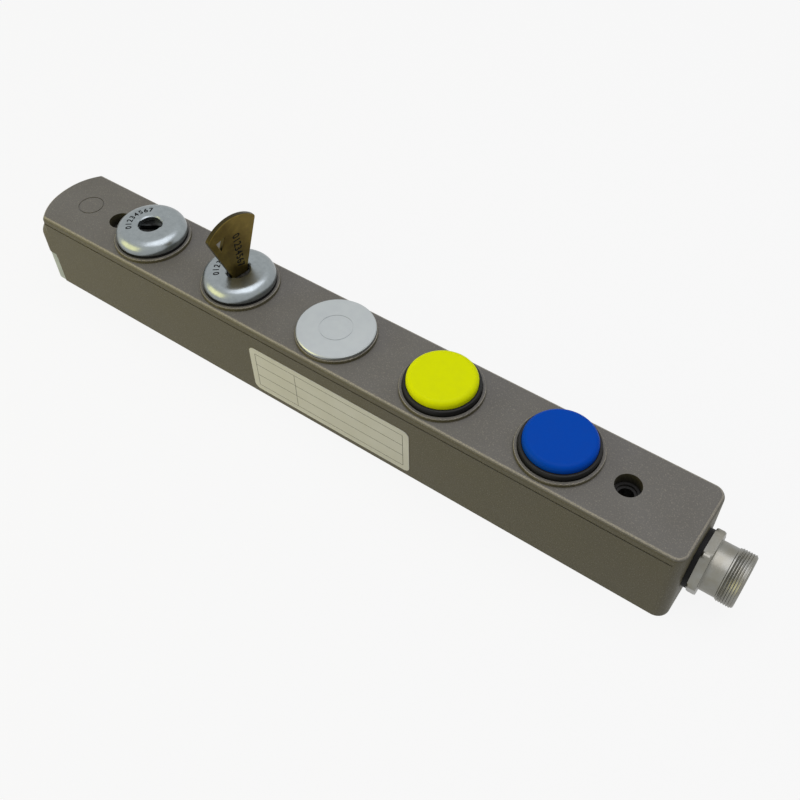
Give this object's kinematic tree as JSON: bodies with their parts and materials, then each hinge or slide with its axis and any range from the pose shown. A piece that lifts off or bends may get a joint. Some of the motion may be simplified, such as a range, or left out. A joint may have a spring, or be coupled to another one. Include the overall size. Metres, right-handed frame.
{
  "type": "safety interlock switch",
  "caption": "Slim cast interlock unit with key locks, a blanking plug and push buttons in a row, and a threaded connector on one end.",
  "frame": {"origin": "midway between the two mounting holes, on the rear mounting face", "axes": "+X along the unit towards the connector, +Z out of the front face"},
  "size_m": [0.367, 0.0402, 0.0802],
  "materials": {
    "cast_housing": "fine textured satin paint on a die casting, taupe grey",
    "bare_nose": "bare blasted metal",
    "cover_plate": "satin paint",
    "rubber": "black moulded rubber",
    "steel_screws": "zinc plated",
    "label_film": "pale printed film, left bare",
    "turned_aluminium": "turned, clear anodised",
    "key_brass": "dulled stamped brass",
    "board_laminate": "solder masked laminate",
    "brass_fittings": "turned brass",
    "connector_nickel": "satin nickel plated",
    "black_plastic": "moulded, satin",
    "lock_steel": "satin zinc alloy",
    "plug_steel": "dark machined",
    "spring_steel": "drawn wire",
    "yellow_lens": "satin moulded, yellow",
    "blue_lens": "satin moulded, blue"
  },
  "bodies": {
    "root": {"housing": "cast_housing", "nose_insert": "bare_nose", "rear_cover": "cover_plate", "rear_gasket": "rubber", "rear_cover_screws": "steel_screws", "side_label": "label_film", "lock_1_head": "lock_steel", "lock_1_seal": "rubber", "lock_1_sleeve": "lock_steel", "lock_1_nut": "lock_steel", "lock_1_contact_block": "black_plastic", "lock_2_head": "lock_steel", "lock_2_seal": "rubber", "lock_2_sleeve": "lock_steel", "lock_2_nut": "lock_steel", "lock_2_contact_block": "black_plastic", "blanking_plug": "turned_aluminium", "blanking_seal": "rubber", "blanking_nut": "lock_steel", "yellow_bezel": "black_plastic", "yellow_seal": "rubber", "yellow_nut": "lock_steel", "yellow_spring": "spring_steel", "yellow_contact_block": "black_plastic", "blue_bezel": "black_plastic", "blue_seal": "rubber", "blue_nut": "lock_steel", "blue_spring": "spring_steel", "blue_contact_block": "black_plastic", "circuit_board": "board_laminate", "board_standoffs": "brass_fittings", "board_screws": "steel_screws", "connector_gasket": "rubber", "connector_shell": "connector_nickel", "connector_insert": "black_plastic", "connector_pins": "brass_fittings", "connector_nut": "connector_nickel"},
    "lock_1_turning": {"lock_1_plug": "plug_steel", "lock_1_cam": "lock_steel"},
    "lock_2_turning": {"lock_2_plug": "plug_steel", "lock_2_cam": "lock_steel"},
    "key": {"key": "key_brass"},
    "yellow_button": {"yellow_lens": "yellow_lens", "yellow_plunger": "black_plastic", "yellow_clip": "steel_screws"},
    "blue_button": {"blue_lens": "blue_lens", "blue_plunger": "black_plastic", "blue_clip": "steel_screws"}
  },
  "joints": [
    {"name": "lock_1_turn", "type": "hinge", "parent": "root", "child": "lock_1_turning", "pos_m": [-0.1144, 0, 0.042], "axis": [0, 0, 1], "range_deg": [-90, 0]},
    {"name": "lock_2_turn", "type": "hinge", "parent": "root", "child": "lock_2_turning", "pos_m": [-0.0592, 0, 0.042], "axis": [0, 0, 1], "range_deg": [-90, 0]},
    {"name": "key_withdrawal", "type": "slide", "parent": "lock_2_turning", "child": "key", "axis": [0, 0, 1], "range_m": [0, 0.022]},
    {"name": "yellow_press", "type": "slide", "parent": "root", "child": "yellow_button", "axis": [0, 0, -1], "range_m": [0, 0.003], "stiffness_N_per_m": 1500, "springref_m": -0.0015, "deforming": ["yellow_spring"]},
    {"name": "blue_press", "type": "slide", "parent": "root", "child": "blue_button", "axis": [0, 0, -1], "range_m": [0, 0.003], "stiffness_N_per_m": 1500, "springref_m": -0.0015, "deforming": ["blue_spring"]}
  ]
}
